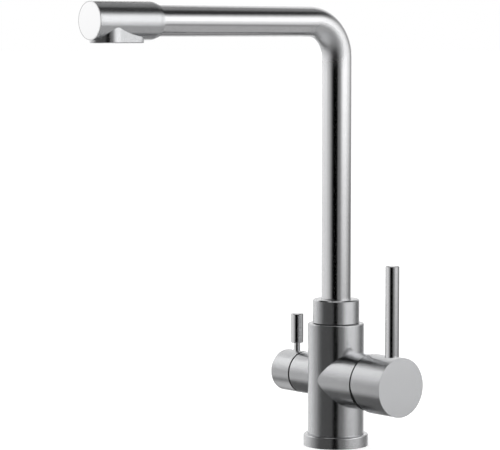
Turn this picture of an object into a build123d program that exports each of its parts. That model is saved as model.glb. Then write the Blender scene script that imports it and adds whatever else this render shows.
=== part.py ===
from build123d import *
import os
from math import radians, tan

# Three-way kitchen mixer tap with a separate filtered-water valve, millimetres and degrees.
# Origin on the body's upright axis in the plane of the deck, +Z up.
# The spout points along -Y, the mixer control along +X and the filter control along -X.

# Clearances
slip = 0.1            # radial, turned pieces that are pushed together
running = 0.1         # radial, pieces that turn in each other
free = 0.3            # between pieces that pass each other and never touch
seam = 1.2            # seam between a branch and its knob

# Deck flange and body
body_d = 47.5
body_rise = 46.5      # from the control axis up to the body's top
body_shoulder = 1.0
rim_break = 0.5
flange_w = 3.75
ring_h = 10.0
ring_edge = 1.5
foot_step = 2.25      # the foot is turned down to stand in the flange
gasket_inset = 2.0
gasket_w = 2.5
gasket_h = 1.6

# Control branches
control_z = 57.5
mixer_branch_d = 47.0
mixer_branch_end = 45.0
filter_branch_d = 35.4
filter_branch_end = 41.0

# Water connections in the foot, and drilled waterways
waterway_d = 6.0
hose_thread_d = 10.0
hose_thread_depth = 12.0
hose_x = 6.5
hose_y = 8.5
filter_hose_x = -7.0
stud_thread_d = 6.0
stud_thread_depth = 14.0
stud_x = -4.0
stud_y = 16.0
riser_wall = 1.0      # between the mixed-water riser and the cartridge floor

# Mixer cartridge, lengths outwards from its floor
cartridge_floor = 13.0
cartridge_d = 35.0
cartridge_wall = 2.0
cartridge_body_len = 20.0
cartridge_neck_len = 4.0
base_plate_t = 5.0
port_seal_inset = 3.5
port_seal_t = 1.0
inlet_drop = 5.5
outlet_rise = 8.0
disc_t = 3.5
moving_disc_d = 21.0
carrier_t = 3.0
rotor_flange_t = 1.8
rotor_len = 27.0
nut_lip = 2.5         # the step of the housing that the nut presses on
nut_thread_step = 2.0
nut_h = 6.0
nut_slots = 4
nut_slot_w = 5.0
nut_slot_depth = 2.0
pivot_out = 23.5
pivot_pin_d = 3.0
pivot_pin_inset = 1.7
stem_side = 8.0
stem_slot_len = 12.0
stem_inset = 7.0
stem_root_len = 3.5
stem_ball_d = 4.0
stem_neck_d = 3.2
stem_arm_d = 5.2
cover_inset = 0.5
cover_step = 1.4
cover_wall = 1.5
cover_mouth_d = 23.0

# Mixer knob and lever
knob_step = 1.25
knob_len = 34.8
knob_rim = 0.25
knob_recess_gap = 2.0
knob_recess_depth = 12.0
knob_tilt = 12.0
knob_relief_margin = 1.0
lever_d = 11.5
lever_inset = 11.0
lever_len = 75.0
lever_seat = 2.5
lever_thread_d = 6.0
lever_thread_len = 9.0
lever_rim = 0.4
grub_d = 5.0
grub_len = 8.0
grub_key = 2.5
grub_key_depth = 3.0
grub_inset = 15.0

# Filter valve, lengths outwards from its floor
valve_floor = 12.5
valve_bore_d = 20.0
valve_seal_t = 1.5
valve_seal_id = 9.0
valve_len = 21.5
valve_head_step = 3.0
valve_head_t = 5.5
valve_wall = 2.4
valve_disc_t = 3.0
valve_port_d = 4.0
valve_port_r = 4.2
valve_window_d = 5.0
spindle_d = 8.0
spindle_grip_len = 14.8
spindle_head_t = 3.5
spindle_ring_back = 4.0
spindle_ring_d = 1.8

# Filter knob and lever
filter_knob_len = 24.2
filter_knob_edge = 2.8
filter_recess_gap = 1.5
filter_recess_depth = 3.0
filter_lever_inset = 8.7
filter_neck_d = 5.6
filter_neck_root = 8.0
filter_neck_len = 7.1
filter_grip_d = 11.0
filter_grip_len = 25.1
filter_grub_d = 4.0
filter_grub_len = 6.0
filter_grub_key = 2.0
filter_grub_back = 2.7

# Spout socket in the body and the connector that turns in it, depths below the body's top
socket_d = 32.0
socket_depth = 24.0
washer_t = 0.4
washer_inset = 1.2
connector_lift = 0.5
connector_neck_wall = 2.0
connector_neck_len = 10.0
seal_section = 2.5
seal_depths = (19.7, 14.7)
catch_depth = 8.0
catch_w = 4.2
catch_reach = 1.6
catch_tip_d = 3.4
catch_screw_d = 5.0
slide_ring_depth = 3.4
slide_ring_h = 2.6
slide_ring_t = 1.4
filter_socket_depth = 8.0
filter_socket_gap = 0.5

# Collar and spout tube
collar_d = 39.5
collar_h = 19.8
collar_rim = 1.0
tube_d = 25.0
tube_wall = 1.5
tube_stop = 2.9       # the tube's foot stands this far above the connector's shoulder
spout_z = 357.5
bend_r = 30.0
inner_tube_d = 8.0
inner_tube_wall = 1.0
inner_tube_lift = 1.0
inner_elbow_r = 7.0

# Outlet head, measured along the spout
head_d = 30.5
head_end = 253.7
head_len = 63.4
head_taper_len = 6.5
head_throat_step = 0.7
head_chamber_d = 21.0
head_cap_t = 2.4
head_cap_inset = 0.75
head_rim = 0.25
tube_end_back = 8.5   # the tube ends this far before the filtered-water outlet
boss_drop = 17.5
boss_edge = 0.8
aerator_back = 17.4   # from the head's end face to the middle of the aerator
aerator_d = 24.0
aerator_depth = 6.0
aerator_boss_wall = 2.2
aerator_inset = 0.3
aerator_wall = 1.6
aerator_lip_t = 1.2
aerator_lip_w = 1.3
aerator_seal_t = 1.2
aerator_port_d = 15.0
grid_t = 2.0
grid_cell = 1.9
grid_pitch = 2.5
grid_rings = 3
outlet_gap = 23.8     # between the middles of the two outlets
nozzle_d = 12.4
nozzle_boss_wall = 2.8
nozzle_depth = 5.0
nozzle_t = 3.5
nozzle_rings = 1

# Places and sizes worked out from those above
body_top = control_z + body_rise
ring_d = body_d + 2 * flange_w
foot_d = body_d - 2 * foot_step
gasket_d = ring_d - 2 * gasket_inset
mixed_riser_x = cartridge_floor - riser_wall - waterway_d / 2
cartridge_shoulder = cartridge_floor + cartridge_body_len
cartridge_end = cartridge_shoulder + cartridge_neck_len
cartridge_neck_d = cartridge_d - 2 * nut_lip
port_seal_d = cartridge_d - 2 * port_seal_inset
housing_bore_d = cartridge_d - 2 * cartridge_wall
nut_thread_d = cartridge_d + 2 * nut_thread_step
nut_end = cartridge_shoulder + nut_h
disc_start = cartridge_floor + base_plate_t
moving_start = disc_start + disc_t + running
carrier_start = moving_start + disc_t
carrier_end = carrier_start + carrier_t
rotor_start = carrier_end + free
rotor_end = cartridge_floor + rotor_len
rotor_neck_d = cartridge_neck_d - 2 * cartridge_wall - 2 * free
pivot_x = cartridge_floor + pivot_out
pivot_pin_len = rotor_neck_d - 2 * pivot_pin_inset
stem_ball_x = carrier_start + running + stem_ball_d / 2
stem_arm_start = carrier_end + 2 * free
stem_root = pivot_x - stem_root_len
cover_skirt_r = nut_thread_d / 2 - slip
cover_r = cover_skirt_r - cover_step
cover_end = mixer_branch_end - cover_inset
knob_d = mixer_branch_d + 2 * knob_step
knob_rear = mixer_branch_end + seam
knob_face = knob_rear + knob_len
knob_recess_d = 2 * (cover_r + knob_recess_gap)
stem_end = knob_face - stem_inset
lever_x = knob_face - lever_inset
lever_foot = control_z + knob_d / 2 - lever_seat
lever_top = control_z + knob_d / 2 + lever_len
grub_x = knob_face - grub_inset
valve_start = valve_floor + valve_seal_t
valve_shoulder = valve_floor + valve_len
valve_head_end = valve_shoulder + valve_head_t
valve_head_d = valve_bore_d + 2 * valve_head_step
valve_d = valve_bore_d - 2 * slip
valve_inner_d = valve_d - 2 * valve_wall
valve_moving_start = valve_start + valve_disc_t + running
spindle_head_start = valve_moving_start + valve_disc_t
valve_cavity_end = spindle_head_start + spindle_head_t + free
filter_knob_rear = filter_branch_end + seam
filter_recess_d = valve_head_d + 2 * filter_recess_gap
filter_lever_out = filter_knob_rear + filter_lever_inset
filter_grip_start = control_z + filter_branch_d / 2 + filter_neck_len
spindle_end = filter_knob_rear + spindle_grip_len
spindle_ring_at = valve_shoulder - spindle_ring_back
filter_grub_out = spindle_end - filter_grub_back
socket_floor = body_top - socket_depth
washer_top = body_top + washer_t
washer_d = collar_d - 2 * washer_inset
connector_d = socket_d - 2 * running
connector_foot = socket_floor + connector_lift
connector_shoulder = washer_top + free
connector_top = connector_shoulder + connector_neck_len
connector_neck_d = tube_d + 2 * connector_neck_wall
catch_z = body_top - catch_depth
slide_ring_z = body_top - slide_ring_depth
collar_foot = washer_top + running
tube_foot = connector_shoulder + tube_stop
filter_socket_d = inner_tube_d + 2 * filter_socket_gap
filter_socket_floor = socket_floor - filter_socket_depth
inner_tube_foot = filter_socket_floor + inner_tube_lift
head_start = head_end - head_len
head_full = head_start + head_taper_len
head_throat_d = tube_d + 2 * head_throat_step
head_cap_d = head_d - 2 * head_cap_inset
boss_bottom = spout_z - boss_drop
boss_nose_at = head_end - aerator_back
boss_nose_r = aerator_d / 2 + aerator_boss_wall
boss_tail_at = boss_nose_at - outlet_gap
boss_tail_r = nozzle_d / 2 + nozzle_boss_wall
head_socket_end = boss_tail_at - tube_end_back
aerator_top = boss_bottom + aerator_depth
aerator_base = boss_bottom + aerator_inset

control_axis = Axis((0, 0, control_z), (1, 0, 0))
spout_axis = Axis((0, 0, spout_z), (0, 1, 0))


def mixer_plane(x):
    """Plane square to the control axis at x, seen from the mixer knob's face, y upwards."""
    return Plane(origin=(x, 0, control_z), x_dir=(0, 1, 0), z_dir=(1, 0, 0))


def filter_plane(out):
    """Plane square to the control axis, out millimetres along -X, y upwards."""
    return Plane(origin=(-out, 0, control_z), x_dir=(0, -1, 0), z_dir=(-1, 0, 0))


def front_plane(out):
    """Plane square to the spout's level run, out millimetres along -Y, y upwards."""
    return Plane(origin=(0, -out, spout_z), x_dir=(1, 0, 0), z_dir=(0, -1, 0))


def disc(outer_d, inner_d):
    """A ring in the sketch that is open."""
    Circle(outer_d / 2)
    Circle(inner_d / 2, mode=Mode.SUBTRACT)


def save(part, label):
    """Label a finished piece and write it to its own file."""
    part.label = label
    export_step(part, f"parts/{label}.step")


os.makedirs("parts", exist_ok=True)

# Body casting: foot, upright body and the two branches in one piece
with BuildPart() as body_casting:
    with BuildSketch(Plane.XY.offset(ring_h)):
        Circle(body_d / 2)
    extrude(amount=body_top - ring_h)
    fillet(body_casting.edges().group_by(Axis.Z)[-1], radius=body_shoulder)
    with BuildSketch(Plane.XY):
        Circle(foot_d / 2)
    extrude(amount=ring_h)
    with BuildSketch(mixer_plane(0)):
        Circle(mixer_branch_d / 2)
    extrude(amount=mixer_branch_end)
    chamfer(body_casting.edges().group_by(Axis.X)[-1], length=rim_break)
    with BuildSketch(filter_plane(0)):
        Circle(filter_branch_d / 2)
    extrude(amount=filter_branch_end)
    chamfer(body_casting.edges().group_by(Axis.X)[0], length=rim_break)
    # Cartridge bore with the wider thread for its nut
    with BuildSketch(mixer_plane(cartridge_floor)):
        Circle(cartridge_d / 2 + slip)
    extrude(amount=mixer_branch_end - cartridge_floor, mode=Mode.SUBTRACT)
    with BuildSketch(mixer_plane(cartridge_shoulder)):
        Circle(nut_thread_d / 2)
    extrude(amount=mixer_branch_end - cartridge_shoulder, mode=Mode.SUBTRACT)
    # Filter valve bore with the wider mouth for its head
    with BuildSketch(filter_plane(valve_floor)):
        Circle(valve_bore_d / 2)
    extrude(amount=filter_branch_end - valve_floor, mode=Mode.SUBTRACT)
    with BuildSketch(filter_plane(valve_shoulder)):
        Circle(valve_head_d / 2 + slip)
    extrude(amount=filter_branch_end - valve_shoulder, mode=Mode.SUBTRACT)
    # Spout socket in the top, with the small filtered-water socket in its floor
    with BuildSketch(Plane.XY.offset(socket_floor)):
        Circle(socket_d / 2)
    extrude(amount=socket_depth, mode=Mode.SUBTRACT)
    with BuildSketch(Plane.XY.offset(filter_socket_floor)):
        Circle(filter_socket_d / 2)
    extrude(amount=filter_socket_depth, mode=Mode.SUBTRACT)
    # Hot and cold waterways, from the foot to the cartridge floor
    with BuildSketch(Plane.XY):
        with Locations((hose_x, hose_y), (hose_x, -hose_y)):
            Circle(waterway_d / 2)
    extrude(amount=control_z - inlet_drop + waterway_d / 2, mode=Mode.SUBTRACT)
    with BuildSketch(mixer_plane(hose_x)):
        with Locations((hose_y, -inlet_drop), (-hose_y, -inlet_drop)):
            Circle(waterway_d / 2)
    extrude(amount=cartridge_floor - hose_x, mode=Mode.SUBTRACT)
    # Mixed water, from the cartridge floor up to the spout socket
    with BuildSketch(mixer_plane(mixed_riser_x)):
        with Locations((0, outlet_rise)):
            Circle(waterway_d / 2)
    extrude(amount=cartridge_floor - mixed_riser_x, mode=Mode.SUBTRACT)
    with BuildSketch(Plane.XY.offset(control_z + outlet_rise - waterway_d / 2)):
        with Locations((mixed_riser_x, 0)):
            Circle(waterway_d / 2)
    extrude(amount=socket_floor - control_z - outlet_rise + waterway_d / 2, mode=Mode.SUBTRACT)
    # Filtered water, from the foot to the filter valve and on to its socket at the top
    with BuildSketch(Plane.XY):
        with Locations((filter_hose_x, 0)):
            Circle(waterway_d / 2)
    extrude(amount=control_z + waterway_d / 2, mode=Mode.SUBTRACT)
    with BuildSketch(filter_plane(-filter_hose_x)):
        Circle(waterway_d / 2)
    extrude(amount=valve_floor + filter_hose_x, mode=Mode.SUBTRACT)
    slant_top = Vector(0, 0, filter_socket_floor + valve_window_d / 2)
    slant_foot = Vector(-valve_moving_start, 0, control_z + valve_bore_d / 2 - valve_window_d / 2)
    slant = slant_foot - slant_top
    with BuildSketch(Plane(origin=slant_top, x_dir=(0, 1, 0), z_dir=slant)):
        Circle(valve_window_d / 2)
    extrude(amount=slant.length, mode=Mode.SUBTRACT)
    # Threaded sockets in the foot: three hoses and two fixing studs
    with BuildSketch(Plane.XY):
        with Locations((hose_x, hose_y), (hose_x, -hose_y), (filter_hose_x, 0)):
            Circle(hose_thread_d / 2)
    extrude(amount=hose_thread_depth, mode=Mode.SUBTRACT)
    with BuildSketch(Plane.XY):
        with Locations((stud_x, stud_y), (stud_x, -stud_y)):
            Circle(stud_thread_d / 2)
    extrude(amount=stud_thread_depth, mode=Mode.SUBTRACT)
    # Hole in the back for the screw that keeps the spout in its socket
    with BuildSketch(Plane.XZ):
        with Locations((0, catch_z)):
            Circle(catch_screw_d / 2)
    extrude(amount=-body_d / 2, mode=Mode.SUBTRACT)
save(body_casting.part, "body_casting")

# Deck flange that the foot stands in, with its gasket
with BuildPart() as base_ring:
    with BuildSketch():
        disc(ring_d, foot_d + 2 * slip)
    extrude(amount=ring_h)
    fillet(base_ring.edges().group_by(Axis.Z)[-1].sort_by(SortBy.RADIUS)[-1], radius=ring_edge)
    with BuildSketch():
        disc(gasket_d, gasket_d - 2 * gasket_w)
    extrude(amount=gasket_h, mode=Mode.SUBTRACT)
save(base_ring.part, "base_ring")

with BuildPart() as base_gasket:
    with BuildSketch():
        disc(gasket_d, gasket_d - 2 * gasket_w)
    extrude(amount=gasket_h)
save(base_gasket.part, "base_gasket")

# Mixer cartridge, from its seal on the floor outwards
with BuildPart() as cartridge_port_seal:
    with BuildSketch(mixer_plane(cartridge_floor)):
        Circle(port_seal_d / 2)
        with Locations((hose_y, -inlet_drop), (-hose_y, -inlet_drop), (0, outlet_rise)):
            Circle(waterway_d / 2, mode=Mode.SUBTRACT)
    extrude(amount=port_seal_t)
save(cartridge_port_seal.part, "cartridge_port_seal")

with BuildPart() as cartridge_base:
    with BuildSketch(mixer_plane(cartridge_floor)):
        Circle(cartridge_d / 2)
        with Locations((hose_y, -inlet_drop), (-hose_y, -inlet_drop), (0, outlet_rise)):
            Circle(waterway_d / 2, mode=Mode.SUBTRACT)
    extrude(amount=base_plate_t)
    with BuildSketch(mixer_plane(cartridge_floor)):
        Circle(port_seal_d / 2)
    extrude(amount=port_seal_t, mode=Mode.SUBTRACT)
save(cartridge_base.part, "cartridge_base")

with BuildPart() as cartridge_housing:
    with BuildSketch(mixer_plane(disc_start)):
        Circle(cartridge_d / 2)
    extrude(amount=cartridge_shoulder - disc_start)
    with BuildSketch(mixer_plane(cartridge_shoulder)):
        Circle(cartridge_neck_d / 2)
    extrude(amount=cartridge_end - cartridge_shoulder)
    with BuildSketch(mixer_plane(disc_start)):
        Circle(housing_bore_d / 2)
    extrude(amount=rotor_start + rotor_flange_t + running - disc_start, mode=Mode.SUBTRACT)
    with BuildSketch(mixer_plane(disc_start)):
        Circle(rotor_neck_d / 2 + free)
    extrude(amount=cartridge_end - disc_start, mode=Mode.SUBTRACT)
save(cartridge_housing.part, "cartridge_housing")

with BuildPart() as fixed_ceramic_disc:
    with BuildSketch(mixer_plane(disc_start)):
        Circle(housing_bore_d / 2 - slip)
        with Locations((hose_y, -inlet_drop), (-hose_y, -inlet_drop), (0, outlet_rise)):
            Circle(waterway_d / 2, mode=Mode.SUBTRACT)
    extrude(amount=disc_t)
save(fixed_ceramic_disc.part, "fixed_ceramic_disc")

with BuildPart() as moving_ceramic_disc:
    with BuildSketch(mixer_plane(moving_start)):
        Circle(moving_disc_d / 2)
    extrude(amount=disc_t)
    # Shallow pocket that joins the ports
    with BuildSketch(mixer_plane(moving_start)):
        SlotOverall(moving_disc_d - 2 * cartridge_wall, waterway_d)
    extrude(amount=disc_t / 2, mode=Mode.SUBTRACT)
save(moving_ceramic_disc.part, "moving_ceramic_disc")

with BuildPart() as disc_carrier:
    with BuildSketch(mixer_plane(carrier_start)):
        disc(moving_disc_d, stem_ball_d + 2 * free)
    extrude(amount=carrier_t)
save(disc_carrier.part, "disc_carrier")

with BuildPart() as cartridge_rotor:
    with BuildSketch(mixer_plane(rotor_start)):
        Circle(housing_bore_d / 2 - free)
    extrude(amount=rotor_flange_t)
    with BuildSketch(mixer_plane(rotor_start)):
        Circle(rotor_neck_d / 2)
    extrude(amount=rotor_end - rotor_start)
    # Slot that the stem tilts in
    with BuildSketch(mixer_plane(rotor_start)):
        Rectangle(stem_side + 2 * free, stem_slot_len)
    extrude(amount=rotor_end - rotor_start, mode=Mode.SUBTRACT)
    with BuildSketch(Plane.XZ):
        with Locations((pivot_x, control_z)):
            Circle(pivot_pin_d / 2)
    extrude(amount=pivot_pin_len / 2, both=True, mode=Mode.SUBTRACT)
save(cartridge_rotor.part, "cartridge_rotor")

with BuildPart() as stem_pivot_pin:
    with BuildSketch(Plane.XZ):
        with Locations((pivot_x, control_z)):
            Circle(pivot_pin_d / 2)
    extrude(amount=pivot_pin_len / 2, both=True)
save(stem_pivot_pin.part, "stem_pivot_pin")

with BuildPart() as cartridge_stem:
    with BuildSketch(mixer_plane(stem_root)):
        Rectangle(stem_side, stem_side)
    extrude(amount=stem_end - stem_root)
    chamfer(cartridge_stem.faces().sort_by(Axis.X)[-1].edges(), length=rim_break)
    with BuildSketch(mixer_plane(stem_arm_start)):
        Circle(stem_arm_d / 2)
    extrude(amount=stem_root - stem_arm_start)
    with BuildSketch(mixer_plane(stem_ball_x)):
        Circle(stem_neck_d / 2)
    extrude(amount=stem_arm_start - stem_ball_x)
    with Locations((stem_ball_x, 0, control_z)):
        Sphere(stem_ball_d / 2)
    with BuildSketch(Plane.XZ):
        with Locations((pivot_x, control_z)):
            Circle(pivot_pin_d / 2 + running / 2)
    extrude(amount=stem_side, both=True, mode=Mode.SUBTRACT)
save(cartridge_stem.part, "cartridge_stem")

with BuildPart() as cartridge_nut:
    with BuildSketch(mixer_plane(cartridge_shoulder)):
        disc(nut_thread_d - 2 * slip, cartridge_neck_d + 2 * slip)
    extrude(amount=nut_end - cartridge_shoulder)
    # Slots for the spanner
    with BuildSketch(mixer_plane(nut_end - nut_slot_depth)):
        with PolarLocations((cartridge_neck_d + nut_thread_d) / 4, nut_slots):
            Rectangle((nut_thread_d - cartridge_neck_d) / 2, nut_slot_w)
    extrude(amount=nut_slot_depth, mode=Mode.SUBTRACT)
save(cartridge_nut.part, "cartridge_nut")

# Domed cover over the cartridge, a slice of a sphere about the lever's pivot
with BuildPart() as cartridge_cover:
    with BuildSketch(Plane.XZ):
        with Locations((pivot_x, control_z)):
            Circle(cover_r)
        with Locations((nut_end, control_z)):
            Rectangle(cover_end - nut_end, cover_skirt_r, align=(Align.MIN, Align.MIN))
        with Locations((pivot_x, control_z)):
            Circle(cover_r - cover_wall, mode=Mode.SUBTRACT)
        with Locations((nut_end, control_z + cover_mouth_d / 2)):
            Rectangle(cover_r, cover_r, align=(Align.MIN, Align.MIN), mode=Mode.INTERSECT)
    revolve(axis=control_axis)
save(cartridge_cover.part, "cartridge_cover")

# Mixer knob, its lower rear edge cut back so that it can tilt
relief_drop = knob_d / 2 + seam
relief_out = relief_drop * tan(radians(knob_tilt + knob_relief_margin))
with BuildPart() as mixer_knob:
    with BuildSketch(mixer_plane(knob_rear)):
        Circle(knob_d / 2)
    extrude(amount=knob_len)
    fillet(mixer_knob.faces().sort_by(Axis.X)[-1].edges(), radius=knob_rim)
    with BuildSketch(mixer_plane(knob_rear)):
        Circle(knob_recess_d / 2)
    extrude(amount=knob_recess_depth, mode=Mode.SUBTRACT)
    with BuildSketch(Plane.XZ):
        with BuildLine():
            Polyline(
                (knob_rear, control_z),
                (knob_rear + relief_out, control_z - relief_drop),
                (knob_rear, control_z - relief_drop),
                close=True,
            )
        make_face()
    extrude(amount=knob_d, both=True, mode=Mode.SUBTRACT)
    # Square hole for the stem
    with BuildSketch(mixer_plane(knob_rear)):
        Rectangle(stem_side + 2 * slip, stem_side + 2 * slip)
    extrude(amount=stem_end + seam - knob_rear, mode=Mode.SUBTRACT)
    # Seat and thread for the lever
    with BuildSketch(Plane.XY.offset(lever_foot)):
        with Locations((lever_x, 0)):
            Circle(lever_d / 2 + slip)
    extrude(amount=2 * lever_seat, mode=Mode.SUBTRACT)
    with BuildSketch(Plane.XY.offset(lever_foot - lever_thread_len)):
        with Locations((lever_x, 0)):
            Circle(lever_thread_d / 2)
    extrude(amount=lever_thread_len, mode=Mode.SUBTRACT)
    # Thread for the grub screw, from below
    with BuildSketch(Plane.XY.offset(control_z)):
        with Locations((grub_x, 0)):
            Circle(grub_d / 2)
    extrude(amount=-knob_d / 2, mode=Mode.SUBTRACT)
save(mixer_knob.part, "mixer_knob")

with BuildPart() as mixer_lever:
    with BuildSketch(Plane.XY.offset(lever_foot)):
        with Locations((lever_x, 0)):
            Circle(lever_d / 2)
    extrude(amount=lever_top - lever_foot)
    chamfer(mixer_lever.edges().group_by(Axis.Z)[-1], length=lever_rim)
    with BuildSketch(Plane.XY.offset(lever_foot)):
        with Locations((lever_x, 0)):
            Circle(lever_thread_d / 2)
    extrude(amount=-lever_thread_len)
save(mixer_lever.part, "mixer_lever")

with BuildPart() as knob_grub_screw:
    with BuildSketch(Plane.XY.offset(control_z - stem_side / 2)):
        with Locations((grub_x, 0)):
            Circle(grub_d / 2)
    extrude(amount=-grub_len)
    with BuildSketch(Plane.XY.offset(control_z - stem_side / 2 - grub_len)):
        with Locations((grub_x, 0)):
            RegularPolygon(grub_key / 2, 6, major_radius=False)
    extrude(amount=grub_key_depth, mode=Mode.SUBTRACT)
save(knob_grub_screw.part, "knob_grub_screw")

# Filter valve, from its seal on the floor outwards
with BuildPart() as filter_seat_seal:
    with BuildSketch(filter_plane(valve_floor)):
        disc(valve_d, valve_seal_id)
    extrude(amount=valve_seal_t)
save(filter_seat_seal.part, "filter_seat_seal")

with BuildPart() as filter_valve_body:
    with BuildSketch(filter_plane(valve_start)):
        Circle(valve_d / 2)
    extrude(amount=valve_shoulder - valve_start)
    with BuildSketch(filter_plane(valve_shoulder)):
        RegularPolygon(valve_head_d / 2, 6)
    extrude(amount=valve_head_end - valve_shoulder)
    with BuildSketch(filter_plane(valve_start)):
        Circle(valve_inner_d / 2)
    extrude(amount=valve_cavity_end - valve_start, mode=Mode.SUBTRACT)
    with BuildSketch(filter_plane(valve_start)):
        Circle(spindle_d / 2 + running)
    extrude(amount=valve_head_end - valve_start, mode=Mode.SUBTRACT)
    # Windows where the water leaves, above and below
    with BuildSketch(Plane.XY.offset(control_z)):
        with Locations((-(valve_moving_start + valve_disc_t / 2), 0)):
            Circle(valve_window_d / 2)
    extrude(amount=valve_bore_d, both=True, mode=Mode.SUBTRACT)
save(filter_valve_body.part, "filter_valve_body")

with BuildPart() as filter_fixed_disc:
    with BuildSketch(filter_plane(valve_start)):
        Circle(valve_inner_d / 2 - slip)
        with PolarLocations(valve_port_r, 2):
            Circle(valve_port_d / 2, mode=Mode.SUBTRACT)
    extrude(amount=valve_disc_t)
save(filter_fixed_disc.part, "filter_fixed_disc")

with BuildPart() as filter_moving_disc:
    with BuildSketch(filter_plane(valve_moving_start)):
        Circle(valve_inner_d / 2 - free)
        # Two open bays leave a bow-tie disc
        with PolarLocations(valve_inner_d / 2, 2, start_angle=90):
            Circle(valve_port_d, mode=Mode.SUBTRACT)
    extrude(amount=valve_disc_t)
save(filter_moving_disc.part, "filter_moving_disc")

ring_outer_d = spindle_d + running
with BuildPart() as filter_spindle:
    with BuildSketch(filter_plane(spindle_head_start)):
        Circle(valve_inner_d / 2 - free)
    extrude(amount=spindle_head_t)
    with BuildSketch(filter_plane(spindle_head_start)):
        Circle(spindle_d / 2)
    extrude(amount=spindle_end - spindle_head_start)
    # Groove for the ring seal
    with BuildSketch(filter_plane(spindle_ring_at)):
        disc(spindle_d + 2 * running, ring_outer_d - 2 * spindle_ring_d)
    extrude(amount=spindle_ring_d, mode=Mode.SUBTRACT)
save(filter_spindle.part, "filter_spindle")

spindle_ring_r = (ring_outer_d - spindle_ring_d) / 2
with BuildPart() as filter_spindle_seal:
    with BuildSketch(Plane.XZ):
        with Locations((-spindle_ring_at - spindle_ring_d / 2, control_z + spindle_ring_r)):
            Circle(spindle_ring_d / 2)
    revolve(axis=control_axis)
save(filter_spindle_seal.part, "filter_spindle_seal")

# Filter knob and its short lever
with BuildPart() as filter_knob:
    with BuildSketch(filter_plane(filter_knob_rear)):
        Circle(filter_branch_d / 2)
    extrude(amount=filter_knob_len)
    fillet(filter_knob.faces().sort_by(Axis.X)[0].edges(), radius=filter_knob_edge)
    with BuildSketch(filter_plane(filter_knob_rear)):
        Circle(filter_recess_d / 2)
    extrude(amount=filter_recess_depth, mode=Mode.SUBTRACT)
    with BuildSketch(filter_plane(filter_knob_rear)):
        Circle(spindle_d / 2 + slip)
    extrude(amount=spindle_end + seam - filter_knob_rear, mode=Mode.SUBTRACT)
    with BuildSketch(Plane.XY.offset(control_z + filter_neck_root)):
        with Locations((-filter_lever_out, 0)):
            Circle(filter_neck_d / 2)
    extrude(amount=filter_branch_d / 2 - filter_neck_root, mode=Mode.SUBTRACT)
    with BuildSketch(Plane.XY.offset(control_z)):
        with Locations((-filter_grub_out, 0)):
            Circle(filter_grub_d / 2)
    extrude(amount=-filter_branch_d / 2, mode=Mode.SUBTRACT)
save(filter_knob.part, "filter_knob")

with BuildPart() as filter_lever:
    with BuildSketch(Plane.XY.offset(control_z + filter_neck_root)):
        with Locations((-filter_lever_out, 0)):
            Circle(filter_neck_d / 2)
    extrude(amount=filter_grip_start - control_z - filter_neck_root)
    with BuildSketch(Plane.XY.offset(filter_grip_start)):
        with Locations((-filter_lever_out, 0)):
            Circle(filter_grip_d / 2)
    extrude(amount=filter_grip_len)
    grip_edges = filter_lever.edges().filter_by(GeomType.CIRCLE).sort_by(SortBy.RADIUS)[-2:]
    chamfer(grip_edges, length=lever_rim)
save(filter_lever.part, "filter_lever")

with BuildPart() as filter_grub_screw:
    with BuildSketch(Plane.XY.offset(control_z - spindle_d / 2)):
        with Locations((-filter_grub_out, 0)):
            Circle(filter_grub_d / 2)
    extrude(amount=-filter_grub_len)
    with BuildSketch(Plane.XY.offset(control_z - spindle_d / 2 - filter_grub_len)):
        with Locations((-filter_grub_out, 0)):
            RegularPolygon(filter_grub_key / 2, 6, major_radius=False)
    extrude(amount=grub_key_depth, mode=Mode.SUBTRACT)
save(filter_grub_screw.part, "filter_grub_screw")

# Spout joint: washer, connector with its grooves, seals, slide ring and catch screw
with BuildPart() as spout_washer:
    with BuildSketch(Plane.XY.offset(body_top)):
        disc(washer_d, socket_d)
    extrude(amount=washer_t)
save(spout_washer.part, "spout_washer")

with BuildPart() as spout_connector:
    with BuildSketch(Plane.XY.offset(connector_foot)):
        Circle(connector_d / 2)
    extrude(amount=connector_shoulder - connector_foot)
    with BuildSketch(Plane.XY.offset(connector_shoulder)):
        Circle(connector_neck_d / 2)
    extrude(amount=connector_neck_len)
    with BuildSketch(Plane.XY.offset(connector_foot)):
        Circle(tube_d / 2 - tube_wall)
    extrude(amount=connector_top - connector_foot, mode=Mode.SUBTRACT)
    with BuildSketch(Plane.XY.offset(tube_foot)):
        Circle(tube_d / 2 + slip)
    extrude(amount=connector_top - tube_foot, mode=Mode.SUBTRACT)
    # Grooves for the seals, the catch screw and the slide ring
    for seal_depth in seal_depths:
        with BuildSketch(Plane.XY.offset(body_top - seal_depth - seal_section / 2)):
            disc(socket_d, connector_d - 2 * seal_section)
        extrude(amount=seal_section, mode=Mode.SUBTRACT)
    with BuildSketch(Plane.XY.offset(catch_z - catch_w / 2)):
        disc(socket_d, connector_d - 2 * catch_reach)
    extrude(amount=catch_w, mode=Mode.SUBTRACT)
    with BuildSketch(Plane.XY.offset(slide_ring_z)):
        disc(socket_d, connector_d - 2 * slide_ring_t)
    extrude(amount=slide_ring_h, mode=Mode.SUBTRACT)
save(spout_connector.part, "spout_connector")

with BuildPart() as spout_seals:
    with BuildSketch(Plane.XZ):
        for seal_depth in seal_depths:
            with Locations(((connector_d - seal_section) / 2, body_top - seal_depth)):
                Circle(seal_section / 2)
    revolve(axis=Axis.Z)
save(spout_seals.part, "spout_seals")

with BuildPart() as spout_slide_ring:
    with BuildSketch(Plane.XY.offset(slide_ring_z)):
        disc(connector_d, connector_d - 2 * slide_ring_t)
    extrude(amount=slide_ring_h)
save(spout_slide_ring.part, "spout_slide_ring")

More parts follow.
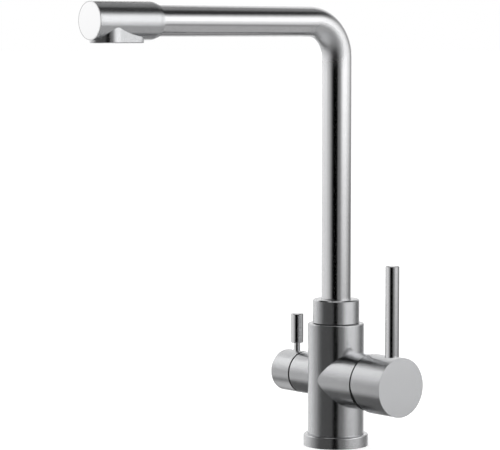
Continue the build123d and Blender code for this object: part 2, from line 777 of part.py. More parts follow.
with BuildPart() as spout_catch_screw:
    with BuildSketch(Plane.XZ.offset(-socket_d / 2)):
        with Locations((0, catch_z)):
            Circle(catch_screw_d / 2)
    extrude(amount=-(body_d - socket_d) / 2 + rim_break)
    with BuildSketch(Plane.XZ.offset(-socket_d / 2)):
        with Locations((0, catch_z)):
            Circle(catch_tip_d / 2)
    extrude(amount=catch_reach - free)
    with BuildSketch(Plane.XZ.offset(-body_d / 2 + rim_break)):
        with Locations((0, catch_z)):
            RegularPolygon(grub_key / 2, 6, major_radius=False)
    extrude(amount=grub_key_depth, mode=Mode.SUBTRACT)
save(spout_catch_screw.part, "spout_catch_screw")

with BuildPart() as spout_collar:
    with BuildSketch(Plane.XY.offset(collar_foot)):
        Circle(collar_d / 2)
    extrude(amount=collar_h)
    chamfer(spout_collar.edges().group_by(Axis.Z)[-1], length=collar_rim)
    with BuildSketch(Plane.XY.offset(collar_foot)):
        Circle(tube_d / 2 + slip)
    extrude(amount=collar_h, mode=Mode.SUBTRACT)
    with BuildSketch(Plane.XY.offset(collar_foot)):
        Circle(connector_neck_d / 2 + slip)
    extrude(amount=connector_top - collar_foot, mode=Mode.SUBTRACT)
    with BuildSketch(Plane.XY.offset(collar_foot)):
        Circle(connector_d / 2 + slip)
    extrude(amount=connector_shoulder - collar_foot, mode=Mode.SUBTRACT)
save(spout_collar.part, "spout_collar")

# Spout tube: up, round one bend and level to the outlet head
with BuildPart() as spout_tube:
    with BuildLine(Plane.YZ):
        FilletPolyline((0, tube_foot), (0, spout_z), (-head_socket_end, spout_z), radius=bend_r)
    with BuildSketch(Plane.XY.offset(tube_foot)):
        disc(tube_d, tube_d - 2 * tube_wall)
    sweep()
save(spout_tube.part, "spout_tube")

# Inner tube that keeps the filtered water apart up to its own outlet
inner_tube_end = boss_bottom + nozzle_depth
with BuildPart() as filtered_water_tube:
    with BuildLine(Plane.YZ):
        FilletPolyline(
            (0, inner_tube_foot),
            (0, spout_z),
            (-boss_tail_at, spout_z),
            (-boss_tail_at, inner_tube_end),
            radius=(bend_r, inner_elbow_r),
        )
    with BuildSketch(Plane.XY.offset(inner_tube_foot)):
        disc(inner_tube_d, inner_tube_d - 2 * inner_tube_wall)
    sweep()
    # Groove for the ring seal at its foot
    with BuildSketch(Plane.XY.offset(inner_tube_foot + inner_tube_wall)):
        disc(filter_socket_d, inner_tube_d - inner_tube_wall)
    extrude(amount=2 * inner_tube_wall, mode=Mode.SUBTRACT)
save(filtered_water_tube.part, "filtered_water_tube")

with BuildPart() as filtered_tube_seal:
    with BuildSketch(Plane.XY.offset(inner_tube_foot + inner_tube_wall)):
        disc(filter_socket_d - slip, inner_tube_d - inner_tube_wall)
    extrude(amount=2 * inner_tube_wall)
save(filtered_tube_seal.part, "filtered_tube_seal")

# Outlet head: thicker end of the spout with a boss beneath that holds both outlets
with BuildPart() as outlet_head:
    with BuildSketch(Plane.YZ):
        with BuildLine():
            Polyline(
                (-head_full, spout_z + head_d / 2),
                (-head_end + head_rim, spout_z + head_d / 2),
                (-head_end, spout_z + head_d / 2 - head_rim),
                (-head_end, spout_z),
                (-head_start, spout_z),
                (-head_start, spout_z + head_throat_d / 2),
            )
            # The head's rear end is rounded down to the tube
            TangentArc(
                (-head_full, spout_z + head_d / 2),
                (-head_start, spout_z + head_throat_d / 2),
                tangent=(1, 0),
            )
        make_face()
    revolve(axis=spout_axis)
    with BuildSketch(Plane.XY.offset(boss_bottom)):
        with Locations((0, -boss_nose_at)):
            Circle(boss_nose_r)
        with Locations((0, -boss_tail_at)):
            Circle(boss_tail_r)
        make_hull()
    extrude(amount=boss_drop)
    fillet(outlet_head.edges().group_by(Axis.Z)[0], radius=boss_edge)
    # Socket for the tube, water chamber and the seat of the end cap
    with BuildSketch(front_plane(head_start)):
        Circle(tube_d / 2 + slip)
    extrude(amount=head_socket_end - head_start, mode=Mode.SUBTRACT)
    with BuildSketch(front_plane(head_socket_end)):
        Circle(head_chamber_d / 2)
    extrude(amount=head_end - head_cap_t - head_socket_end, mode=Mode.SUBTRACT)
    with BuildSketch(front_plane(head_end - head_cap_t)):
        Circle(head_cap_d / 2)
    extrude(amount=head_cap_t, mode=Mode.SUBTRACT)
    # Aerator bore with its waterway, and the filtered-water outlet behind it
    with BuildSketch(Plane.XY.offset(boss_bottom)):
        with Locations((0, -boss_nose_at)):
            Circle(aerator_d / 2)
    extrude(amount=aerator_depth, mode=Mode.SUBTRACT)
    with BuildSketch(Plane.XY.offset(aerator_top)):
        with Locations((0, -boss_nose_at)):
            Circle(aerator_port_d / 2)
    extrude(amount=spout_z - aerator_top, mode=Mode.SUBTRACT)
    with BuildSketch(Plane.XY.offset(boss_bottom)):
        with Locations((0, -boss_tail_at)):
            Circle(nozzle_d / 2)
    extrude(amount=nozzle_depth, mode=Mode.SUBTRACT)
    with BuildSketch(Plane.XY.offset(boss_bottom)):
        with Locations((0, -boss_tail_at)):
            Circle(inner_tube_d / 2 + slip)
    extrude(amount=boss_drop, mode=Mode.SUBTRACT)
save(outlet_head.part, "outlet_head")

with BuildPart() as head_end_cap:
    with BuildSketch(front_plane(head_end - head_cap_t)):
        Circle(head_cap_d / 2 - slip)
    extrude(amount=head_cap_t)
    chamfer(head_end_cap.faces().sort_by(Axis.Y)[0].edges(), length=head_rim / 2)
save(head_end_cap.part, "head_end_cap")

# Aerator: threaded ring with a lip, honeycomb insert and rubber seal
aerator_ring_d = aerator_d - 2 * slip
aerator_inner_d = aerator_ring_d - 2 * aerator_wall
with BuildPart() as aerator_housing:
    with BuildSketch(Plane.XY.offset(aerator_base)):
        with Locations((0, -boss_nose_at)):
            Circle(aerator_ring_d / 2)
    extrude(amount=aerator_top - aerator_seal_t - aerator_base)
    with BuildSketch(Plane.XY.offset(aerator_base)):
        with Locations((0, -boss_nose_at)):
            Circle(aerator_inner_d / 2 - aerator_lip_w)
    extrude(amount=aerator_depth, mode=Mode.SUBTRACT)
    with BuildSketch(Plane.XY.offset(aerator_base + aerator_lip_t)):
        with Locations((0, -boss_nose_at)):
            Circle(aerator_inner_d / 2)
    extrude(amount=aerator_depth, mode=Mode.SUBTRACT)
save(aerator_housing.part, "aerator_housing")

with BuildPart() as aerator_insert:
    with BuildSketch(Plane.XY.offset(aerator_base + aerator_lip_t)):
        with Locations((0, -boss_nose_at)):
            Circle(aerator_inner_d / 2 - slip)
            with HexLocations(grid_pitch / 2, 2 * grid_rings + 1, 2 * grid_rings + 1):
                RegularPolygon(grid_cell / 2, 6, major_radius=False, mode=Mode.SUBTRACT)
    extrude(amount=grid_t)
save(aerator_insert.part, "aerator_insert")

with BuildPart() as aerator_seal:
    with BuildSketch(Plane.XY.offset(aerator_top - aerator_seal_t)):
        with Locations((0, -boss_nose_at)):
            disc(aerator_ring_d, aerator_port_d)
    extrude(amount=aerator_seal_t)
save(aerator_seal.part, "aerator_seal")

with BuildPart() as filtered_water_nozzle:
    with BuildSketch(Plane.XY.offset(boss_bottom + nozzle_depth - nozzle_t)):
        with Locations((0, -boss_tail_at)):
            Circle(nozzle_d / 2 - slip)
            with HexLocations(grid_pitch / 2, 2 * nozzle_rings + 1, 2 * nozzle_rings + 1):
                RegularPolygon(grid_cell / 2, 6, major_radius=False, mode=Mode.SUBTRACT)
    extrude(amount=nozzle_t)
save(filtered_water_nozzle.part, "filtered_water_nozzle")
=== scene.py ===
"""Mixer tap in satin stainless steel: finishes for every piece, and a plain studio around it."""
import math
from typing import NamedTuple

import bpy
from bpy.props import FloatProperty, FloatVectorProperty, PointerProperty
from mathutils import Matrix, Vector


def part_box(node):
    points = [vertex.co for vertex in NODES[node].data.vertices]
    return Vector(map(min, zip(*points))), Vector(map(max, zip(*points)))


bl_info = {
    "name": "Three-way mixer tap",
    "version": (1, 0, 0),
    "blender": (4, 5, 0),
    "location": "View3D > Sidebar > Tap",
    "description": "Finishes a tall kitchen mixer tap and sets a plain studio around it",
    "category": "Object",
}

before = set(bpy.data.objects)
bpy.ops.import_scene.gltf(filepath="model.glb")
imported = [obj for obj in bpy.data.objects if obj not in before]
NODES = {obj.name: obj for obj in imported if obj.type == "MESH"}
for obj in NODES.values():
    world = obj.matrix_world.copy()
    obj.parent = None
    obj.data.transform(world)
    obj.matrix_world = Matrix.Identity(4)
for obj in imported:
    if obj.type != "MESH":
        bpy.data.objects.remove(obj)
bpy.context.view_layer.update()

# Places that the finishes follow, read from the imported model, in metres
BARREL_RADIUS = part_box("body_casting")[1].y
CONTROL_HEIGHT = (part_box("mixer_knob")[0].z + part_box("mixer_knob")[1].z) / 2
MIXER_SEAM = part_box("body_casting")[1].x
MIXER_SEAM_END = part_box("mixer_knob")[0].x
MIXER_KNOB_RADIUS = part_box("mixer_knob")[1].y
FILTER_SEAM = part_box("body_casting")[0].x
FILTER_SEAM_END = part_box("filter_knob")[1].x
FILTER_KNOB_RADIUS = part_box("filter_knob")[1].y
SPOUT_HEIGHT = (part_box("head_end_cap")[0].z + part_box("head_end_cap")[1].z) / 2
HEAD_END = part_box("outlet_head")[0].y
HEAD_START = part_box("outlet_head")[1].y
HEAD_BOTTOM = SPOUT_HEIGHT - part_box("outlet_head")[1].x
TUBE_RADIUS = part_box("spout_tube")[1].x

# Sizes on the surface that the boxes don't give, in metres
BEND_RADIUS = 0.030
BEND_DULL = 0.018  # how far before and after each end of the bend its dull inner side fades
BEND_DULL_START = BEND_RADIUS - TUBE_RADIUS / 2
BEND_DULL_END = BEND_RADIUS + TUBE_RADIUS / 4
HEAD_REAR_FADE = 0.005  # before the head's rear end, where its rounding starts to look straight
HEAD_REAR_EDGE = 0.002  # before the head's rear end, where it looks so entirely
SEAM_SHADE_LIP = 0.0018  # how far over its edge the mixer branch is painted dark, as painted shade under the knob's rim
EDGE = 0.0004  # how near a face a place still counts as on it


class Value:
    """A socket that takes part in Python expressions by adding Math nodes."""

    def __init__(self, shader, socket):
        self.shader = shader
        self.socket = socket

    def maths(self, operation, *others):
        values = dict(enumerate((self, *others)))
        return self.shader.node("ShaderNodeMath", {"operation": operation}, values)

    def __add__(self, other):
        return self.maths("ADD", other)

    def __sub__(self, other):
        return self.maths("SUBTRACT", other)

    def __rsub__(self, other):
        return (self * -1) + other

    def __mul__(self, other):
        return self.maths("MULTIPLY", other)

    def __pow__(self, other):
        return self.maths("POWER", other)

    def __gt__(self, other):
        return self.maths("GREATER_THAN", other)

    def __lt__(self, other):
        return self.maths("LESS_THAN", other)

    __radd__ = __add__
    __rmul__ = __mul__

    def rise(self, low, high):
        """0 below low, 1 above high and a smooth rise between them."""
        ends = {"Value": self, "From Min": low, "From Max": high}
        return self.shader.node("ShaderNodeMapRange", {"interpolation_type": "SMOOTHSTEP"}, ends)

    def fall(self, low, high):
        """1 below low, 0 above high and a smooth fall between them."""
        return 1 - self.rise(low, high)


class Shader:
    """The node tree of a material or a world, with one method that adds any node."""

    def __init__(self, owner):
        owner.use_nodes = True
        self.tree = owner.node_tree
        self.tree.nodes.clear()

    def node(self, kind, settings=None, inputs=None, output=0):
        made = self.tree.nodes.new(kind)
        for name, setting in (settings or {}).items():
            setattr(made, name, setting)
        for key, value in (inputs or {}).items():
            if isinstance(value, Value):
                self.tree.links.new(value.socket, made.inputs[key])
            else:
                made.inputs[key].default_value = value
        return Value(self, made.outputs[output]) if made.outputs else None

    def place(self):
        """The three object coordinates, each as a value in metres."""
        spot = self.node("ShaderNodeTexCoord", output="Object")
        split = self.node("ShaderNodeSeparateXYZ", inputs={"Vector": spot}).socket.node
        return [Value(self, split.outputs[axis]) for axis in "XYZ"]

    def noise(self, x, y, z, detail=2.0):
        """Noise of three coordinates that are already scaled, from 0 to 1."""
        spot = self.node("ShaderNodeCombineXYZ", inputs={"X": x, "Y": y, "Z": z})
        inputs = {"Vector": spot, "Scale": 1.0, "Detail": detail}
        return self.node("ShaderNodeTexNoise", inputs=inputs)

    def grain(self, scales, detail=2.0):
        """Noise with a number of repeats per metre along each object axis."""
        return self.noise(*(value * scale for value, scale in zip(self.place(), scales)), detail)

    def pick(self, mask, first, second):
        """The first number where the mask is 0 and the second where it is 1."""
        return self.node("ShaderNodeMix", {"data_type": "FLOAT"}, {0: mask, 2: first, 3: second})

    def tint(self, mask, first, second):
        """The first colour where the mask is 0 and the second where it is 1."""
        colours = {0: mask, 6: first, 7: second}
        return self.node("ShaderNodeMix", {"data_type": "RGBA"}, colours, output=2)

    def bump(self, height, distance):
        inputs = {"Height": height, "Distance": distance, "Strength": 1.0}
        return self.node("ShaderNodeBump", inputs=inputs)

    def facing(self, mask, normal, direction):
        """The normal where the mask is 0, and a direction in the piece's own axes where it is 1."""
        turn = {"vector_type": "NORMAL", "convert_from": "OBJECT", "convert_to": "WORLD"}
        turned = self.node("ShaderNodeVectorTransform", turn, {"Vector": direction})
        ways = {0: mask, 4: normal, 5: turned}
        return self.node("ShaderNodeMix", {"data_type": "VECTOR"}, ways, output=1)

    def finish(self, **sockets):
        """Closes a material with a Principled shader. Underscores stand for spaces in names."""
        inputs = {name.replace("_", " "): value for name, value in sockets.items()}
        surface = self.node("ShaderNodeBsdfPrincipled", inputs=inputs)
        self.node("ShaderNodeOutputMaterial", inputs={"Surface": surface})


def rgba(colour, share=1.0):
    return (*(share * channel for channel in colour), 1.0)


def new_shader(name):
    material = bpy.data.materials.new(name)
    return material, Shader(material)


def along_x(shader, x, y, z):
    """Turned about the line of the controls: the lines ring X."""
    return x, y, z - CONTROL_HEIGHT


def along_z(shader, x, y, z):
    """Turned upright: the lines ring Z."""
    return z, x, y


def along_body(shader, x, y, z):
    """The barrel is turned upright and its two branches about the line of the controls."""
    branch = x.maths("ABSOLUTE") > BARREL_RADIUS - EDGE
    return shader.pick(branch, z, x), shader.pick(branch, x, y), shader.pick(branch, y, z)


def along_tube(shader, x, y, z):
    """The lines ring the tube's own line: up the riser, round the bend and out along the spout."""
    out = (y * -1) - BEND_RADIUS
    up = z - (SPOUT_HEIGHT - BEND_RADIUS)
    past_riser = up.rise(-EDGE, EDGE)
    past_bend = out.rise(-EDGE, EDGE)
    turn = up.maths("ARCTAN2", out * -1)
    bend = (turn * BEND_RADIUS) + (SPOUT_HEIGHT - BEND_RADIUS)
    level = out + (SPOUT_HEIGHT - BEND_RADIUS + BEND_RADIUS * math.pi / 2)
    line = shader.pick(past_bend, shader.pick(past_riser, z, bend), level)
    return line, x, shader.pick(past_bend, y, z)


def bend_inside(shader, x, y, z):
    """The inner side of the tube's bend, where a polishing belt reaches least."""
    out = y + BEND_RADIUS
    up = z - (SPOUT_HEIGHT - BEND_RADIUS)
    reach = ((out * out) + (up * up)) ** 0.5
    quarter = out.rise(-BEND_DULL, BEND_DULL) * up.rise(-BEND_DULL, BEND_DULL)
    return quarter * reach.fall(BEND_DULL_START, BEND_DULL_END)


def along_cap(shader, x, y, z):
    """Turned about the spout's line: the lines ring Y."""
    return y, z - SPOUT_HEIGHT, x


def along_head(shader, x, y, z):
    """The head is turned about the spout's line and its boss upright."""
    boss = z < HEAD_BOTTOM
    return shader.pick(boss, y, z), x, shader.pick(boss, z, y)


# Painted shade: the branches' flat ends, the mixer branch's lip and the knobs' rears and insides
# are coloured near black, standing in for the shade in the gaps between the branches and the knobs
SEAM_SHADE_COLOUR = (0.05, 0.05, 0.05)
SEAM_SHADE_ROUGHNESS = 0.6
BEND_ROUGHNESS = 0.45

# The noises in the steel, in repeats per metre along the turning lines, and what each adds
FINE_SCALE = 60
BROAD_SCALE = 25
BROAD_STRETCH = 0.08  # repeats across the turning lines, for each one of the fine noise
CLOUD_SCALE = 35
WEAR_SHARES = {"fine": 0.4, "broad": 0.3, "cloud": 0.3}
DEPTH_SHARES = {"fine": 0.7, "broad": 0.3}
UNEVENNESS = 0.06
BLUR_SPREAD = 0.08
POLISHED_DEPTH = 0.5  # of the depth of the satin pieces' lines


class Patch(NamedTuple):
    """Faces of a piece with a finish of their own, or with painted shade: what finds them, a colour
    and a roughness.
    facing, if any, gives the way that they seem to face, which is that of the face beside them."""

    mask: object
    colour: tuple
    roughness: float
    facing: object = None


def branch_ends(shader, x, y, z):
    """The flat ends of the two branches, behind the knobs, and the mixer branch's lip: where
    painted shade goes.
    """
    return (x > MIXER_SEAM - SEAM_SHADE_LIP).maths("MAXIMUM", x < FILTER_SEAM + EDGE)


def head_front(shader, x, y, z):
    """The head's end face, round its cap."""
    return y < HEAD_END + EDGE


def head_rear(shader, x, y, z):
    """The rounding at the rear of the head, down to the tube."""
    return y.rise(HEAD_START - HEAD_REAR_FADE, HEAD_START - HEAD_REAR_EDGE)


def forwards(shader, x, y, z):
    """The way that the head's cap faces."""
    return 0, -1, 0


def outwards(shader, x, y, z):
    """The way that the head's barrel faces: straight off the spout's line."""
    return shader.node("ShaderNodeCombineXYZ", inputs={"X": x, "Z": z - SPOUT_HEIGHT})


def mixer_rear(shader, x, y, z):
    """The rear and inside of the mixer knob, which are painted near black as painted shade in the
    gap.
    """
    return inner_side(shader, y, z, MIXER_KNOB_RADIUS, x < MIXER_SEAM_END + EDGE)


def filter_rear(shader, x, y, z):
    """The rear and inside of the filtered water knob, which are painted near black as painted shade
    in the gap.
    """
    return inner_side(shader, y, z, FILTER_KNOB_RADIUS, x > FILTER_SEAM_END - EDGE)


def inner_side(shader, y, z, radius, rear):
    """What lies in a knob's rear face or within its wall."""
    height = z - CONTROL_HEIGHT
    out = (y * y + height * height) ** 0.5
    return rear * (out < radius - EDGE)


def blend(noises, shares):
    """The noises added up by their shares."""
    return sum(noises[name] * share for name, share in shares.items())


def steel(name, lines, colour, roughness, spacing, depth, finish, patches=()):
    """Turned stainless steel. lines gives the coordinate across the turning, and two others."""
    material, shader = new_shader(name)
    x, y, z = shader.place()
    across, side, rest = lines(shader, x, y, z)
    fine = shader.noise(across * (1 / spacing), side * FINE_SCALE, rest * FINE_SCALE, detail=3.0)
    stretched = across * (BROAD_STRETCH / spacing)
    broad = shader.noise(stretched, side * BROAD_SCALE, rest * BROAD_SCALE)
    cloud = shader.noise(side * CLOUD_SCALE, rest * CLOUD_SCALE, across * CLOUD_SCALE, detail=3.0)
    noises = {"fine": fine, "broad": broad, "cloud": cloud}
    wear = blend(noises, WEAR_SHARES)
    tone = shader.tint(wear, rgba(colour, 1 - UNEVENNESS), rgba(colour, 1 + UNEVENNESS))
    blur = (wear * BLUR_SPREAD) + (roughness - BLUR_SPREAD / 2)
    normal = shader.bump(blend(noises, DEPTH_SHARES), depth)
    for patch in patches:
        inside = patch.mask(shader, x, y, z)
        tone = shader.tint(inside, tone, rgba(patch.colour))
        blur = shader.pick(inside, blur, patch.roughness)
        if patch.facing:
            normal = shader.facing(inside, normal, patch.facing(shader, x, y, z))
    shader.finish(Base_Color=tone, Metallic=1.0, Roughness=blur, Normal=normal)
    material["finish"] = finish
    return material


# In each material below, SCALES are repeats of a noise per metre, SHADES are shares of the
# colour, BLUR is the roughness that a noise adds, and DEPTH is the height of a bump in metres
BRASS_ROUGHNESS = 0.18
BRASS_LINE_SCALES = (2200, 90, 90)
BRASS_LINE_BLUR = 0.10
BRASS_LINE_DEPTH = 0.00001
STAIN_SCALES = (120, 120, 120)
STAIN_RANGE = (0.35, 0.75)
STAIN_SHADE = 0.72
STAIN_BLUR = 0.18


def brass(name, colour):
    """Turned brass with a faint dull cast, as valve bodies have."""
    material, shader = new_shader(name)
    lines = shader.grain(BRASS_LINE_SCALES)
    stain = shader.grain(STAIN_SCALES, detail=4.0)
    shader.finish(
        Base_Color=shader.tint(stain.rise(*STAIN_RANGE), rgba(colour), rgba(colour, STAIN_SHADE)),
        Metallic=1.0,
        Roughness=(stain * STAIN_BLUR) + (lines * BRASS_LINE_BLUR) + BRASS_ROUGHNESS,
        Normal=shader.bump(lines, BRASS_LINE_DEPTH),
    )
    return material


FLOW_SCALES = (70, 70, 140)
FLOW_SHADES = (0.88, 1.08)
FLOW_BLUR = 0.06
SKIN_BLUR = 0.14
LIGHT_DEPTH = 0.002


class Moulding(NamedTuple):
    """A moulded skin. grain is in repeats per metre, and subsurface is how much light sinks in."""

    roughness: float
    grain: float
    depth: float
    subsurface: float = 0.0


RUBBER = Moulding(roughness=0.62, grain=1800, depth=0.00002)
DARK_PLASTIC = Moulding(roughness=0.42, grain=1500, depth=0.00001)
WHITE_PLASTIC = Moulding(roughness=0.38, grain=900, depth=0.00001, subsurface=0.15)
AERATOR_PLASTIC = WHITE_PLASTIC._replace(roughness=0.36)


def moulded(name, colour, moulding):
    """Moulded plastic or rubber: a soft flow pattern in the colour and a fine grain in the skin."""
    material, shader = new_shader(name)
    flow = shader.grain(FLOW_SCALES, detail=3.0)
    skin = shader.grain([moulding.grain] * 3)
    smoothest = moulding.roughness - (SKIN_BLUR + FLOW_BLUR) / 2
    shader.finish(
        Base_Color=shader.tint(flow, *(rgba(colour, shade) for shade in FLOW_SHADES)),
        Roughness=(skin * SKIN_BLUR) + (flow * FLOW_BLUR) + smoothest,
        Normal=shader.bump(skin, moulding.depth),
        Subsurface_Weight=moulding.subsurface,
        Subsurface_Scale=LIGHT_DEPTH,
    )
    return material


CERAMIC_ROUGHNESS = 0.12
CERAMIC_COAT = 0.2
SPECK_SCALES = (2600, 2600, 2600)
SPECK_RANGE = (0.55, 0.75)
SPECK_SHADE = 0.86
SPECK_DEPTH = 0.000002
LAPPING_SCALES = (90, 90, 90)
LAPPING_BLUR = 0.12


def ceramic(name, colour):
    """Lapped alumina: nearly white, faintly speckled and very smooth."""
    material, shader = new_shader(name)
    speck = shader.grain(SPECK_SCALES)
    lapping = shader.grain(LAPPING_SCALES, detail=3.0)
    shader.finish(
        Base_Color=shader.tint(speck.rise(*SPECK_RANGE), rgba(colour), rgba(colour, SPECK_SHADE)),
        Roughness=(lapping * LAPPING_BLUR) + CERAMIC_ROUGHNESS,
        Normal=shader.bump(speck, SPECK_DEPTH),
        Coat_Weight=CERAMIC_COAT,
    )
    return material


HOSE_ROUGHNESS = 0.16
HOSE_CLEARNESS = 0.55
HOSE_IOR = 1.46
DRAWING_SCALES = (160, 160, 22)
DRAWING_SHADES = (0.85, 1.05)
DRAWING_BLUR = 0.12
DRAWING_DEPTH = 0.00002


def hose_plastic(name, colour):
    """Clear grey tube for drinking water, with the faint lines of its drawing."""
    material, shader = new_shader(name)
    drawing = shader.grain(DRAWING_SCALES)
    shader.finish(
        Base_Color=shader.tint(drawing, *(rgba(colour, shade) for shade in DRAWING_SHADES)),
        Roughness=(drawing * DRAWING_BLUR) + HOSE_ROUGHNESS,
        Normal=shader.bump(drawing, DRAWING_DEPTH),
        Transmission_Weight=HOSE_CLEARNESS,
        IOR=HOSE_IOR,
    )
    return material


FINISH_OF = {}


def dress(material, *names):
    """Gives a material to every slot of the named CAD pieces."""
    for name in names:
        FINISH_OF[name] = material.get("finish", "")
        for slot in NODES[name].material_slots:
            slot.material = material


def pieces_of(finish):
    """The names of the pieces that have been given a finish."""
    return [name for name, given in FINISH_OF.items() if given == finish]


def colour_property(name, pieces, default):
    """A colour of the named pieces, to set on the panel."""
    return FloatVectorProperty(
        name=name, description="Colour of " + pieces,
        default=default, min=0, max=1, size=3, subtype="COLOR",
    )


class TapFinishes(bpy.types.PropertyGroup):
    """Colours and surface sizes of the tap's pieces."""

    steel: colour_property("Steel", "the satin stainless steel", (0.585, 0.59, 0.60))
    bright_steel: colour_property(
        "Bright steel", "the tube and the levers, which are polished further", (0.70, 0.70, 0.71),
    )
    mirror_steel: colour_property(
        "Mirror steel", "the head's end, which is polished to a mirror", (0.91, 0.91, 0.915),
    )
    brass: colour_property("Brass", "the turned brass inside", (0.72, 0.52, 0.26))
    rubber: colour_property("Rubber", "the seals", (0.022, 0.022, 0.024))
    white_plastic: colour_property(
        "White plastic", "the cartridge's moulded pieces", (0.78, 0.78, 0.75),
    )
    dark_plastic: colour_property(
        "Dark plastic", "the sliding carrier and the washer", (0.045, 0.047, 0.05),
    )
    ceramic: colour_property("Ceramic", "the ceramic discs", (0.84, 0.82, 0.76))
    hose: colour_property("Clear plastic", "the inner tube and nozzle", (0.62, 0.65, 0.67))
    satin_roughness: FloatProperty(
        name="Satin roughness", description="How much the satin steel blurs what it mirrors",
        default=0.20, min=0, max=1, subtype="FACTOR",
    )
    bright_roughness: FloatProperty(
        name="Bright roughness", description="How much the tube and levers blur what they mirror",
        default=0.16, min=0, max=1, subtype="FACTOR",
    )
    line_spacing: FloatProperty(
        name="Line spacing", description="Distance between the turning lines",
        default=0.0003, min=0.00005, unit="LENGTH",
    )
    line_depth: FloatProperty(
        name="Line depth", description="Depth of the turning lines",
        default=0.0000015, min=0, unit="LENGTH",
    )


class TapStudio(bpy.types.PropertyGroup):
    """Camera, floor, drums of light and lamp around the tap."""

    camera_place: FloatVectorProperty(
        name="Camera", description="Where the camera stands",
        default=(1.516, -1.331, 0.3437), size=3, subtype="XYZ", unit="LENGTH",
    )
    camera_turn: FloatProperty(
        name="Camera turn", description="Heading of the camera, from +Y towards -X",
        default=math.radians(50.786), subtype="ANGLE", unit="ROTATION",
    )
    camera_pitch: FloatProperty(
        name="Camera pitch", description="How far the camera looks down",
        default=math.radians(4.448), subtype="ANGLE", unit="ROTATION",
    )
    camera_lens: FloatProperty(
        name="Lens", description="Focal length on a 36 mm sensor, in millimetres",
        default=172.7, min=1,
    )
    tent_radius: FloatProperty(
        name="Tent radius", description="Radius of the drums of light that the metal mirrors",
        default=1.2, min=1, unit="LENGTH",
    )
    floor_radius: FloatProperty(
        name="Floor radius", description="Radius of the pale floor",
        default=60.0, min=1, unit="LENGTH",
    )
    lamp_power: FloatProperty(
        name="Lamp", description="Power of the soft lamp over the tap",
        default=9.0, min=0, unit="POWER",
    )


class Operation(bpy.types.Operator):
    """What the tap's operators share."""

    bl_options = {"REGISTER", "UNDO"}

    def execute(self, context):
        self.make(context.scene.tap_finishes)
        return {"FINISHED"}

    @staticmethod
    def satin(finishes, name, lines, *patches):
        return steel(name, lines, finishes.steel, finishes.satin_roughness,
                     finishes.line_spacing, finishes.line_depth, "satin", patches)

    @staticmethod
    def bright(finishes, name, lines, *patches):
        depth = finishes.line_depth * POLISHED_DEPTH
        return steel(name, lines, finishes.bright_steel, finishes.bright_roughness,
                     finishes.line_spacing, depth, "polished", patches)

    @staticmethod
    def mirror(finishes, name, lines, *patches):
        depth = finishes.line_depth * POLISHED_DEPTH
        return steel(name, lines, finishes.mirror_steel, finishes.bright_roughness,
                     finishes.line_spacing, depth, "mirror", patches)

    @staticmethod
    def rubber(finishes, name):
        return moulded(name, finishes.rubber, RUBBER)

    @staticmethod
    def white(finishes, name, moulding=WHITE_PLASTIC):
        return moulded(name, finishes.white_plastic, moulding)

    @staticmethod
    def dark(finishes, name):
        return moulded(name, finishes.dark_plastic, DARK_PLASTIC)


class TAP_OT_body(Operation):
    """Finish the body, its deck flange and the gasket under it"""

    bl_idname = "tap.body"
    bl_label = "Body and flange"

    def make(self, finishes):
        # The branches' ends and the mixer branch's lip are painted near black, as painted shade
        # under the knobs' rims
        seam_shade = Patch(branch_ends, SEAM_SHADE_COLOUR, SEAM_SHADE_ROUGHNESS)
        dress(self.satin(finishes, "body_steel", along_body, seam_shade), "body_casting")
        dress(self.satin(finishes, "flange_steel", along_z), "base_ring")
        dress(self.rubber(finishes, "gasket_rubber"), "base_gasket")


class TAP_OT_spout(Operation):
    """Finish the swivel collar, the spout tube and the joint between them and the body"""

    bl_idname = "tap.spout"
    bl_label = "Spout"

    def make(self, finishes):
        dress(self.satin(finishes, "collar_steel", along_z), "spout_collar")
        dull = Patch(bend_inside, finishes.steel, BEND_ROUGHNESS)
        dress(self.bright(finishes, "tube_steel", along_tube, dull), "spout_tube")
        dress(brass("connector_brass", finishes.brass), "spout_connector")
        dress(self.rubber(finishes, "swivel_rubber"), "spout_seals", "filtered_tube_seal")
        dress(self.white(finishes, "slide_ring_plastic"), "spout_slide_ring")
        dress(self.dark(finishes, "washer_plastic"), "spout_washer")
        dress(self.bright(finishes, "catch_screw_steel", along_z), "spout_catch_screw")
        dress(hose_plastic("inner_tube_plastic", finishes.hose), "filtered_water_tube")


class TAP_OT_outlets(Operation):
    """Finish the outlet head, its end cap, the aerator and the filtered water nozzle"""

    bl_idname = "tap.outlets"
    bl_label = "Outlet head"

    def make(self, finishes):
        front = Patch(head_front, finishes.mirror_steel, finishes.bright_roughness, forwards)
        rear = Patch(head_rear, finishes.steel, finishes.satin_roughness, outwards)
        dress(self.satin(finishes, "head_steel", along_head, front, rear), "outlet_head")
        dress(self.mirror(finishes, "cap_steel", along_cap, front), "head_end_cap")
        dress(self.bright(finishes, "aerator_steel", along_z), "aerator_housing")
        dress(self.white(finishes, "aerator_plastic", AERATOR_PLASTIC), "aerator_insert")
        dress(self.rubber(finishes, "aerator_rubber"), "aerator_seal")
        dress(hose_plastic("nozzle_plastic", finishes.hose), "filtered_water_nozzle")


class TAP_OT_mixer_control(Operation):
    """Finish the mixer knob, its pin lever, its grub screw and the domed cover behind it"""

    bl_idname = "tap.mixer_control"
    bl_label = "Mixer control"

    def make(self, finishes):
        # The knob's rear and inside are painted near black, as painted shade in the gap behind it
        rear = Patch(mixer_rear, SEAM_SHADE_COLOUR, SEAM_SHADE_ROUGHNESS)
        dress(self.satin(finishes, "knob_steel", along_x, rear), "mixer_knob")
        dress(self.bright(finishes, "lever_steel", along_z), "mixer_lever")
        dress(self.bright(finishes, "knob_screw_steel", along_z), "knob_grub_screw")
        dress(self.bright(finishes, "cover_steel", along_x), "cartridge_cover")


